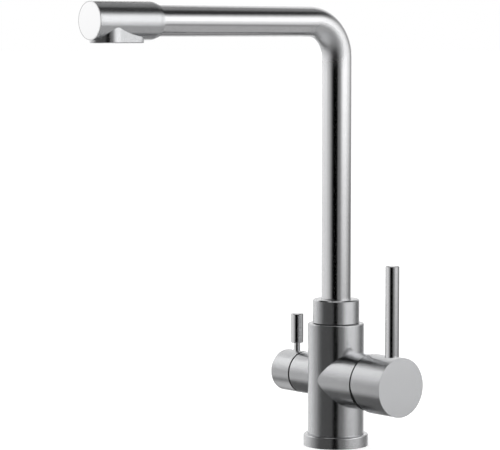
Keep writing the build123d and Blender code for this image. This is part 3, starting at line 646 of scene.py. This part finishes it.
class TAP_OT_mixer_cartridge(Operation):
    """Finish the ceramic cartridge inside the mixer branch"""

    bl_idname = "tap.mixer_cartridge"
    bl_label = "Mixer cartridge"

    def make(self, finishes):
        dress(self.white(finishes, "cartridge_plastic"),
              "cartridge_base", "cartridge_housing", "cartridge_rotor")
        dress(self.dark(finishes, "carrier_plastic"), "disc_carrier")
        dress(ceramic("cartridge_ceramic", finishes.ceramic),
              "fixed_ceramic_disc", "moving_ceramic_disc")
        dress(brass("nut_brass", finishes.brass), "cartridge_nut")
        dress(self.bright(finishes, "stem_steel", along_x), "cartridge_stem", "stem_pivot_pin")
        dress(self.rubber(finishes, "port_rubber"), "cartridge_port_seal")


class TAP_OT_filter_control(Operation):
    """Finish the filtered water knob, its pin lever and the valve behind it"""

    bl_idname = "tap.filter_control"
    bl_label = "Filtered water control"

    def make(self, finishes):
        # The knob's rear and inside are painted near black, as painted shade in the gap behind it
        rear = Patch(filter_rear, SEAM_SHADE_COLOUR, SEAM_SHADE_ROUGHNESS)
        dress(self.satin(finishes, "filter_knob_steel", along_x, rear), "filter_knob")
        dress(self.bright(finishes, "filter_lever_steel", along_z), "filter_lever")
        dress(self.bright(finishes, "filter_screw_steel", along_z), "filter_grub_screw")
        dress(brass("valve_brass", finishes.brass), "filter_valve_body", "filter_spindle")
        dress(ceramic("valve_ceramic", finishes.ceramic), "filter_fixed_disc", "filter_moving_disc")
        dress(self.rubber(finishes, "valve_rubber"), "filter_seat_seal", "filter_spindle_seal")


class Panel(NamedTuple):
    """A glow on a drum, between degrees from the camera to its right and metres from the deck.
    The fades are the widths of its soft edges."""

    left: float
    right: float
    bottom: float
    top: float
    glow: float
    left_fade: float = 30
    right_fade: float = 30
    bottom_fade: float = 0.3
    top_fade: float = 0.4


# What every piece but the end cap mirrors
ROOM = (
    Panel(left=-200, right=-92, bottom=-0.48, top=1.17, glow=0.92, right_fade=70, bottom_fade=0.5),
    Panel(left=-150, right=-80, bottom=0.30, top=1.10, glow=0.42, right_fade=20, bottom_fade=0.7),
    Panel(left=38, right=100, bottom=-0.05, top=1.20, glow=0.66,
          left_fade=34, right_fade=50, top_fade=0.8),
    Panel(left=38, right=130, bottom=0.20, top=0.95, glow=0.60,
          left_fade=40, right_fade=40, top_fade=0.5),
    Panel(left=150, right=200, bottom=-0.50, top=1.45, glow=0.92, left_fade=36),
    Panel(left=9, right=150, bottom=-3.00, top=1.25, glow=0.22,
          left_fade=10, bottom_fade=1.0, top_fade=0.8),
    Panel(left=60, right=200, bottom=-3.00, top=-0.24, glow=0.27, bottom_fade=1.0),
    Panel(left=-200, right=-60, bottom=-3.00, top=-0.40, glow=0.14, bottom_fade=1.0),
    Panel(left=125, right=200, bottom=1.45, top=5.00, glow=0.26, left_fade=40),
    Panel(left=-200, right=-150, bottom=1.45, top=5.00, glow=0.26, right_fade=40),
    Panel(left=-200, right=200, bottom=1.60, top=5.00, glow=0.04),
)
# What some pieces mirror besides: the satin ones, the polished ones, the knobs, and so on
SATIN_ROOM = (
    Panel(left=12, right=75, bottom=0.95, top=5.00, glow=0.26, left_fade=15, right_fade=40),
    Panel(left=-80, right=-40, bottom=0.95, top=5.00, glow=0.26, left_fade=40, right_fade=15),
    Panel(left=-90, right=-13, bottom=-3.00, top=0.60, glow=0.10, left_fade=40, right_fade=10),
    Panel(left=38, right=100, bottom=-0.25, top=0.05, glow=0.50,
          left_fade=34, right_fade=50, bottom_fade=0.2),
)
POLISHED_ROOM = (
    Panel(left=-96, right=-44, bottom=-0.40, top=1.17, glow=0.62, left_fade=50, right_fade=40),
    Panel(left=-95, right=65, bottom=0.80, top=5.00, glow=0.36,
          left_fade=40, right_fade=40, bottom_fade=0.5),
    Panel(left=-75, right=65, bottom=-3.00, top=-0.50, glow=0.26, left_fade=40, right_fade=40),
)
KNOB_ROOM = (
    Panel(left=-75, right=45, bottom=-3.00, top=5.00, glow=0.24, left_fade=40, right_fade=40),
)
FILTER_ROOM = (
    Panel(left=-200, right=-60, bottom=-3.00, top=-0.72, glow=0.54),
)
HEAD_ROOM = (
    Panel(left=-95, right=65, bottom=0.75, top=5.00, glow=0.34, left_fade=40, right_fade=40),
    Panel(left=-95, right=65, bottom=-3.00, top=-0.50, glow=0.24, left_fade=40, right_fade=40),
)
# All that the end cap mirrors
MIRROR_ROOM = (
    Panel(left=-200, right=-92, bottom=-0.48, top=1.17, glow=0.92, right_fade=70, bottom_fade=0.5),
    Panel(left=-150, right=-80, bottom=0.30, top=1.10, glow=0.42, right_fade=20, bottom_fade=0.7),
    Panel(left=-96, right=-44, bottom=-0.40, top=1.17, glow=0.50, left_fade=50, right_fade=40),
    Panel(left=-75, right=45, bottom=-3.00, top=5.00, glow=0.30, left_fade=40, right_fade=40),
    Panel(left=45, right=200, bottom=-3.00, top=5.00, glow=0.42, left_fade=40),
)


# The rest of the studio. Lengths are in metres, but for the camera's sensor
TENT_BOTTOM = -2.0
TENT_TOP = 3.2
TENT_SIDES = 128
CEILING_SHARE = 1.02  # of the tent's radius, so that the ceiling covers the widest drum
CEILING_GLOW = 0.35
FLOOR_COLOUR = (0.9, 0.9, 0.9)
FLOOR_FILL = 0.50  # the glow that the camera sees on top of the light on the floor
FLOOR_SIDES = 96
LAMP_PLACE = (0.9, -1.5, 1.9)
LAMP_SIZE = 1.2
SENSOR_WIDTH = 36  # in millimetres
CLIP_END = 200
WORLD_LEVEL = 0.8  # how bright the world shines on dull faces. Seen or mirrored, it is white


def fade(edge, width):
    """Where a soft edge starts and where it ends."""
    return edge - width / 2, edge + width / 2


def drum_level(shader, camera_azimuth, panels):
    """The glow of the panels added up, at each point of the drum."""
    x, y, z = shader.place()
    turn = (y.maths("ARCTAN2", x) - camera_azimuth).maths("WRAP", math.pi, -math.pi)
    angle = turn * (180 / math.pi)
    level = 0
    for panel in panels:
        past_left = angle.rise(*fade(panel.left, panel.left_fade))
        before_right = angle.fall(*fade(panel.right, panel.right_fade))
        over_bottom = z.rise(*fade(panel.bottom, panel.bottom_fade))
        under_top = z.fall(*fade(panel.top, panel.top_fade))
        level = (past_left * before_right) * (over_bottom * under_top) * panel.glow + level
    return level


def drum_material(name, camera_azimuth, panels, clear):
    """A glow in soft panels. A clear one adds its light to what is behind it."""
    material, shader = new_shader(name)
    level = drum_level(shader, camera_azimuth, panels)
    surface = shader.node("ShaderNodeEmission", inputs={"Strength": level})
    if clear:
        through = shader.node("ShaderNodeBsdfTransparent", inputs={"Color": (1, 1, 1, 1)})
        surface = shader.node("ShaderNodeAddShader", inputs={0: surface, 1: through})
    shader.node("ShaderNodeOutputMaterial", inputs={"Surface": surface})
    material.cycles.emission_sampling = "NONE"
    return material


def ceiling_material():
    """A dim and even glow."""
    material, shader = new_shader("ceiling")
    surface = shader.node("ShaderNodeEmission", inputs={"Strength": CEILING_GLOW})
    shader.node("ShaderNodeOutputMaterial", inputs={"Surface": surface})
    material.cycles.emission_sampling = "NONE"
    return material


def floor_material():
    """A white floor, lit up for the camera so that it matches the white behind it."""
    material, shader = new_shader("pale_floor")
    rays = shader.node("ShaderNodeLightPath").socket.node
    camera = Value(shader, rays.outputs["Is Camera Ray"])
    paper = shader.node("ShaderNodeBsdfDiffuse", inputs={"Color": rgba(FLOOR_COLOUR)})
    fill = shader.node("ShaderNodeEmission", inputs={"Strength": camera * FLOOR_FILL})
    both = shader.node("ShaderNodeAddShader", inputs={0: paper, 1: fill})
    shader.node("ShaderNodeOutputMaterial", inputs={"Surface": both})
    return material


def show_to_mirrors(thing):
    """Hides a thing from all rays but mirrored ones."""
    for rays in ("camera", "diffuse", "transmission", "shadow", "volume_scatter"):
        setattr(thing, "visible_" + rays, False)


class TAP_OT_studio(bpy.types.Operator):
    """Set the floor, the drums of light and their lid, the lamp, the camera and the world"""

    bl_idname = "tap.studio"
    bl_label = "Studio"
    bl_options = {"REGISTER", "UNDO"}

    def execute(self, context):
        studio = context.scene.tap_studio
        self.add_floor(studio)
        self.add_tent(studio)
        self.add_lamp(studio)
        self.add_camera(context.scene, studio)
        self.set_world(context.scene)
        context.scene.view_settings.view_transform = "Standard"
        return {"FINISHED"}

    def add_floor(self, studio):
        bpy.ops.mesh.primitive_circle_add(
            vertices=FLOOR_SIDES, radius=studio.floor_radius, fill_type="NGON",
        )
        floor = bpy.context.active_object
        floor.name = "floor"
        floor.data.materials.append(floor_material())
        floor.visible_glossy = False

    def add_tent(self, studio):
        """Nested drums of light, each mirrored by its own pieces, with a dark wall behind them."""
        most = [name for name in NODES if name not in pieces_of("mirror")]
        for name, share, panels, seen_by in (
            ("dark_wall", 1.01, (), None),
            ("light_tent", 1.00, ROOM, most),
            ("satin_tent", 0.99, SATIN_ROOM, pieces_of("satin")),
            ("polished_tent", 0.98, POLISHED_ROOM, pieces_of("polished")),
            ("mirror_tent", 0.97, MIRROR_ROOM, pieces_of("mirror")),
            ("knob_tent", 0.96, KNOB_ROOM, ["mixer_knob", "filter_knob"]),
            ("filter_tent", 0.95, FILTER_ROOM, ["filter_knob"]),
            ("head_tent", 0.94, HEAD_ROOM, ["outlet_head"]),
        ):
            self.add_drum(name, studio, share, panels, seen_by)
        self.add_ceiling(studio)
        # The photo's body doesn't mirror the mixer lever
        NODES["mixer_lever"].visible_glossy = False

    def add_ceiling(self, studio):
        """A dim lid on the drums, so that edges which face up don't mirror the bright world."""
        bpy.ops.mesh.primitive_circle_add(
            vertices=TENT_SIDES, radius=studio.tent_radius * CEILING_SHARE,
            fill_type="NGON", location=(0, 0, TENT_TOP),
        )
        ceiling = bpy.context.active_object
        ceiling.name = "ceiling"
        bpy.ops.object.transform_apply(location=True)
        ceiling.data.materials.append(ceiling_material())
        show_to_mirrors(ceiling)

    def add_drum(self, name, studio, share, panels, seen_by):
        """A drum of light round the tap, which only mirrors see. Without seen_by it is opaque."""
        camera_azimuth = math.atan2(studio.camera_place.y, studio.camera_place.x)
        bpy.ops.mesh.primitive_cylinder_add(
            vertices=TENT_SIDES, radius=studio.tent_radius * share, depth=TENT_TOP - TENT_BOTTOM,
            location=(0, 0, (TENT_TOP + TENT_BOTTOM) / 2),
        )
        drum = bpy.context.active_object
        drum.name = name
        bpy.ops.object.transform_apply(location=True)
        drum.data.materials.append(drum_material(name, camera_azimuth, panels, bool(seen_by)))
        show_to_mirrors(drum)
        if seen_by:
            receivers = bpy.data.collections.new(name + "_pieces")
            for piece in seen_by:
                receivers.objects.link(NODES[piece])
            drum.light_linking.receiver_collection = receivers

    def add_lamp(self, studio):
        bpy.ops.object.light_add(type="AREA", location=LAMP_PLACE)
        lamp = bpy.context.active_object
        lamp.name = "soft_lamp"
        lamp.data.size = LAMP_SIZE
        lamp.data.energy = studio.lamp_power
        lamp.rotation_euler = Vector(lamp.location).to_track_quat("Z", "Y").to_euler()
        lamp.visible_glossy = False

    def add_camera(self, scene, studio):
        bpy.ops.object.camera_add(location=studio.camera_place)
        camera = bpy.context.active_object
        camera.rotation_euler = (math.pi / 2 - studio.camera_pitch, 0, studio.camera_turn)
        camera.data.lens = studio.camera_lens
        camera.data.sensor_width = SENSOR_WIDTH
        camera.data.clip_end = CLIP_END
        scene.camera = camera

    def set_world(self, scene):
        world = bpy.data.worlds.new("white_room")
        shader = Shader(world)
        rays = shader.node("ShaderNodeLightPath").socket.node
        seen = Value(shader, rays.outputs["Is Camera Ray"])
        for kind in ("Is Glossy Ray", "Is Transmission Ray"):
            seen = seen.maths("MAXIMUM", Value(shader, rays.outputs[kind]))
        level = (seen * (1 - WORLD_LEVEL)) + WORLD_LEVEL
        light = {"Color": (1, 1, 1, 1), "Strength": level}
        back = shader.node("ShaderNodeBackground", inputs=light)
        shader.node("ShaderNodeOutputWorld", inputs={"Surface": back})
        scene.world = world


class TAP_PT_panel(bpy.types.Panel):
    """Lists the tap's operators, and the values of its finishes and its studio"""

    bl_label = "Mixer tap"
    bl_idname = "TAP_PT_panel"
    bl_space_type = "VIEW_3D"
    bl_region_type = "UI"
    bl_category = "Tap"

    def draw(self, context):
        layout = self.layout
        for operator in OPERATORS:
            layout.operator(operator.bl_idname)
        for group in (context.scene.tap_finishes, context.scene.tap_studio):
            box = layout.box()
            for name in group.__annotations__:
                box.prop(group, name)


OPERATORS = (
    TAP_OT_body,
    TAP_OT_spout,
    TAP_OT_outlets,
    TAP_OT_mixer_control,
    TAP_OT_mixer_cartridge,
    TAP_OT_filter_control,
    TAP_OT_studio,
)
CLASSES = (TapFinishes, TapStudio, *OPERATORS, TAP_PT_panel)


def register():
    for item in CLASSES:
        bpy.utils.register_class(item)
    bpy.types.Scene.tap_finishes = PointerProperty(type=TapFinishes)
    bpy.types.Scene.tap_studio = PointerProperty(type=TapStudio)


def unregister():
    del bpy.types.Scene.tap_studio
    del bpy.types.Scene.tap_finishes
    for item in reversed(CLASSES):
        bpy.utils.unregister_class(item)


def main():
    register()
    bpy.ops.tap.body()
    bpy.ops.tap.spout()
    bpy.ops.tap.outlets()
    bpy.ops.tap.mixer_control()
    bpy.ops.tap.mixer_cartridge()
    bpy.ops.tap.filter_control()
    bpy.ops.tap.studio()


if __name__ == "__main__":
    main()
